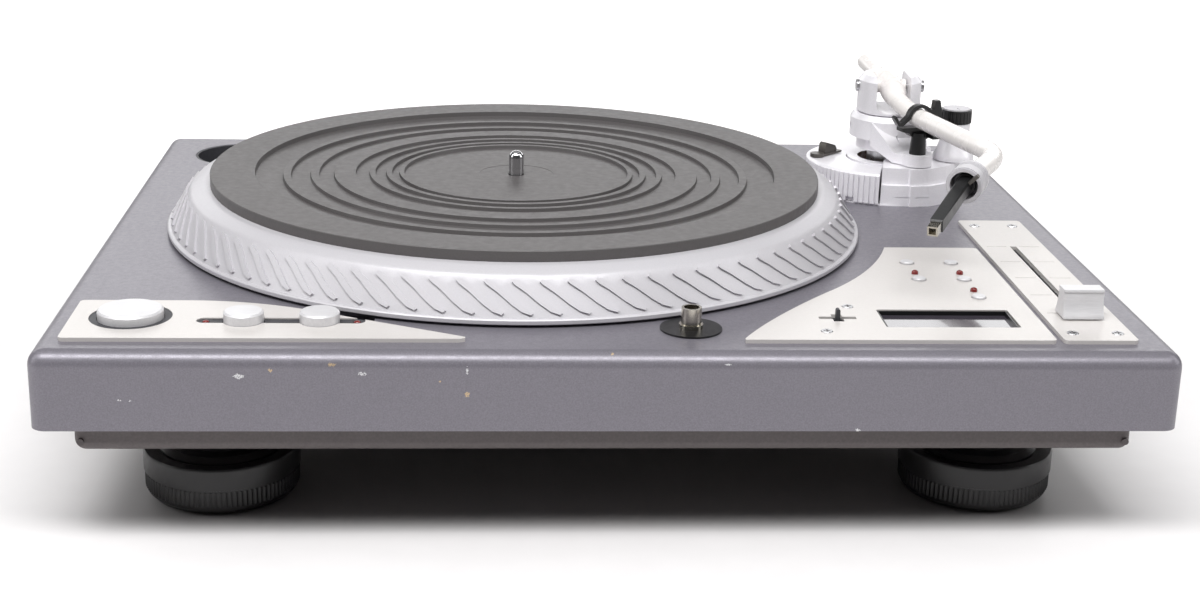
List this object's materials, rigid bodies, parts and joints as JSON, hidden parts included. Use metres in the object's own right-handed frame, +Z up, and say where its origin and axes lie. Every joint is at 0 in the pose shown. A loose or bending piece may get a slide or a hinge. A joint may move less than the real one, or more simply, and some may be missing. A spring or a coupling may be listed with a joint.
{
  "type": "direct drive turntable",
  "caption": "Flat direct drive record turntable with a bevelled ribbed platter, grooved rubber mat, slide pitch control, push buttons and a bent tonearm clipped on its rest.",
  "frame": {"origin": "on the floor under the middle of the plinth", "axes": "+X to the right as seen from the front, +Y to the rear, +Z up"},
  "size_m": [0.45, 0.365, 0.145],
  "materials": {
    "case_paint": "metallic blue-grey paint, satin",
    "pan_paint": "grey textured paint",
    "panel_paint": "off-white satin paint",
    "dark_plastic": "dark grey moulded plastic",
    "black_plastic": "black moulded plastic",
    "red_lens": "clear red lens",
    "lens": "smoked clear plastic",
    "steel": "plated steel",
    "polished_steel": "polished steel",
    "grey_steel": "dark plated sheet",
    "nickel": "nickel plate",
    "brass": "turned brass",
    "winding": "varnished copper windings on a board",
    "board": "green circuit board",
    "iron": "laminated iron and ferrite",
    "arm_cast": "silver painted casting",
    "platter_metal": "silver finished aluminium",
    "mat_rubber": "dark grey rubber",
    "tube_paint": "cream silver paint",
    "button_silver": "silver plastic",
    "foot_rubber": "black rubber"
  },
  "bodies": {
    "chassis": {"plinth": "case_paint", "base_pan": "pan_paint", "left_panel": "panel_paint", "right_panel": "panel_paint", "pitch_panel": "panel_paint", "button_bezels": "dark_plastic", "leds": "red_lens", "window_frame": "black_plastic", "window_lens": "lens", "bend_switch": "dark_plastic", "fader_module": "steel", "panel_screws": "steel", "lamp_plate": "black_plastic", "lamp_socket": "nickel", "adaptor_well": "dark_plastic", "bearing_housing": "brass", "motor_stator": "winding", "circuit_boards": "board", "transformer": "iron", "rear_jacks": "nickel", "power_inlet": "black_plastic", "base_screws": "steel", "arm_base": "arm_cast"},
    "platter": {"platter": "platter_metal", "platter_mat": "mat_rubber", "spindle": "polished_steel", "rotor_magnet": "iron"},
    "height_ring": {"height_ring": "arm_cast"},
    "height_lock": {"height_lock": "grey_steel"},
    "arm_column": {"arm_column": "steel", "arm_housing": "arm_cast", "rest_post": "black_plastic"},
    "skate_dial": {"skate_dial": "black_plastic", "dial_cap": "platter_metal"},
    "arm_clip": {"arm_clip": "black_plastic"},
    "yoke": {"arm_yoke": "arm_cast", "pivot_screws": "steel"},
    "tonearm": {"arm_tube": "tube_paint", "cartridge_body": "black_plastic", "cartridge_tip": "nickel", "finger_tab": "grey_steel"},
    "lock_collar": {"lock_collar": "platter_metal"},
    "start_button": {"start_button": "button_silver"},
    "speed_33_button": {"speed_33_button": "button_silver"},
    "speed_45_button": {"speed_45_button": "button_silver"},
    "bend_lever": {"bend_lever": "dark_plastic"},
    "fader_knob": {"fader_knob": "button_silver"},
    "power_switch": {"power_switch": "black_plastic"},
    "push_button_1": {"push_button_1": "button_silver"},
    "push_button_2": {"push_button_2": "button_silver"},
    "push_button_3": {"push_button_3": "button_silver"},
    "push_button_4": {"push_button_4": "button_silver"},
    "push_button_5": {"push_button_5": "button_silver"},
    "foot_front_left": {"foot_front_left": "foot_rubber"},
    "foot_front_right": {"foot_front_right": "foot_rubber"},
    "foot_rear_left": {"foot_rear_left": "foot_rubber"},
    "foot_rear_right": {"foot_rear_right": "foot_rubber"}
  },
  "joints": [
    {"name": "platter_spin", "type": "hinge", "parent": "chassis", "child": "platter", "pos_m": [-0.0355, 0.0116, 0.0815], "axis": [0, 0, -1], "continuous": true},
    {"name": "height_turn", "type": "hinge", "parent": "chassis", "child": "height_ring", "pos_m": [0.15697, 0.08099, 0.0905], "axis": [0, 0, -1], "range_deg": [0, 30]},
    {"name": "column_rise", "type": "slide", "parent": "chassis", "child": "arm_column", "axis": [0, 0, 1], "range_m": [0, 0.006]},
    {"name": "height_lock_turn", "type": "hinge", "parent": "height_ring", "child": "height_lock", "pos_m": [0.12137, 0.08049, 0.099], "axis": [0, 0, 1], "range_deg": [0, 35]},
    {"name": "arm_swing", "type": "hinge", "parent": "arm_column", "child": "yoke", "pos_m": [0.15697, 0.08099, 0.124], "axis": [0, 0, -1], "range_deg": [0, 47]},
    {"name": "arm_lift", "type": "hinge", "parent": "yoke", "child": "tonearm", "pos_m": [0.15697, 0.08099, 0.1352], "axis": [-0.9994, 0.0349, 0], "range_deg": [0, 10]},
    {"name": "clip_open", "type": "hinge", "parent": "arm_column", "child": "arm_clip", "pos_m": [0.17505, 0.052, 0.11971], "axis": [-0.2924, 0.9563, 0], "range_deg": [0, 100], "deforming": ["arm_clip"]},
    {"name": "skate_turn", "type": "hinge", "parent": "arm_column", "child": "skate_dial", "pos_m": [0.18897, 0.06599, 0.1235], "axis": [0, 0, 1], "range_deg": [0, 300]},
    {"name": "collar_turn", "type": "hinge", "parent": "tonearm", "child": "lock_collar", "pos_m": [0.16297, -0.06901, 0.1245], "axis": [-0.4226, -0.9063, 0], "range_deg": [0, 60]},
    {"name": "start_press", "type": "slide", "parent": "chassis", "child": "start_button", "axis": [0, 0, -1], "range_m": [0, 0.0012], "stiffness_N_per_m": 300, "springref_m": -0.0008},
    {"name": "speed_33_press", "type": "slide", "parent": "chassis", "child": "speed_33_button", "axis": [0, 0, -1], "range_m": [0, 0.0012], "stiffness_N_per_m": 200, "springref_m": -0.0006},
    {"name": "speed_45_press", "type": "slide", "parent": "chassis", "child": "speed_45_button", "axis": [0, 0, -1], "range_m": [0, 0.0012], "stiffness_N_per_m": 200, "springref_m": -0.0006},
    {"name": "push_1_press", "type": "slide", "parent": "chassis", "child": "push_button_1", "axis": [0, 0, -1], "range_m": [0, 0.0008], "stiffness_N_per_m": 100, "springref_m": -0.0004},
    {"name": "push_2_press", "type": "slide", "parent": "chassis", "child": "push_button_2", "axis": [0, 0, -1], "range_m": [0, 0.0008], "stiffness_N_per_m": 100, "springref_m": -0.0004},
    {"name": "push_3_press", "type": "slide", "parent": "chassis", "child": "push_button_3", "axis": [0, 0, -1], "range_m": [0, 0.0008], "stiffness_N_per_m": 100, "springref_m": -0.0004},
    {"name": "push_4_press", "type": "slide", "parent": "chassis", "child": "push_button_4", "axis": [0, 0, -1], "range_m": [0, 0.0008], "stiffness_N_per_m": 100, "springref_m": -0.0004},
    {"name": "push_5_press", "type": "slide", "parent": "chassis", "child": "push_button_5", "axis": [0, 0, -1], "range_m": [0, 0.0008], "stiffness_N_per_m": 100, "springref_m": -0.0004},
    {"name": "bend_tilt", "type": "hinge", "parent": "chassis", "child": "bend_lever", "pos_m": [0.093, -0.1413, 0.0675], "axis": [0, 1, 0], "range_deg": [-18, 18], "stiffness_Nm_per_rad": 0.01},
    {"name": "pitch_slide", "type": "slide", "parent": "chassis", "child": "fader_knob", "axis": [0, 1, 0], "range_m": [0, 0.1]},
    {"name": "power_rock", "type": "hinge", "parent": "chassis", "child": "power_switch", "pos_m": [-0.089, 0.1715, 0.0639], "axis": [-1, 0, 0], "range_deg": [0, 14]},
    {"name": "foot_front_left_turn", "type": "hinge", "parent": "chassis", "child": "foot_front_left", "pos_m": [-0.1605, -0.121, 0.04], "axis": [0, 0, 1], "continuous": true},
    {"name": "foot_front_right_turn", "type": "hinge", "parent": "chassis", "child": "foot_front_right", "pos_m": [0.1605, -0.121, 0.04], "axis": [0, 0, 1], "continuous": true},
    {"name": "foot_rear_left_turn", "type": "hinge", "parent": "chassis", "child": "foot_rear_left", "pos_m": [-0.1605, 0.121, 0.04], "axis": [0, 0, 1], "continuous": true},
    {"name": "foot_rear_right_turn", "type": "hinge", "parent": "chassis", "child": "foot_rear_right", "pos_m": [0.1605, 0.121, 0.04], "axis": [0, 0, 1], "continuous": true}
  ],
  "couplings": [
    {"joint": "column_rise", "follows": "height_turn", "m_per_rad": 0.011459}
  ]
}
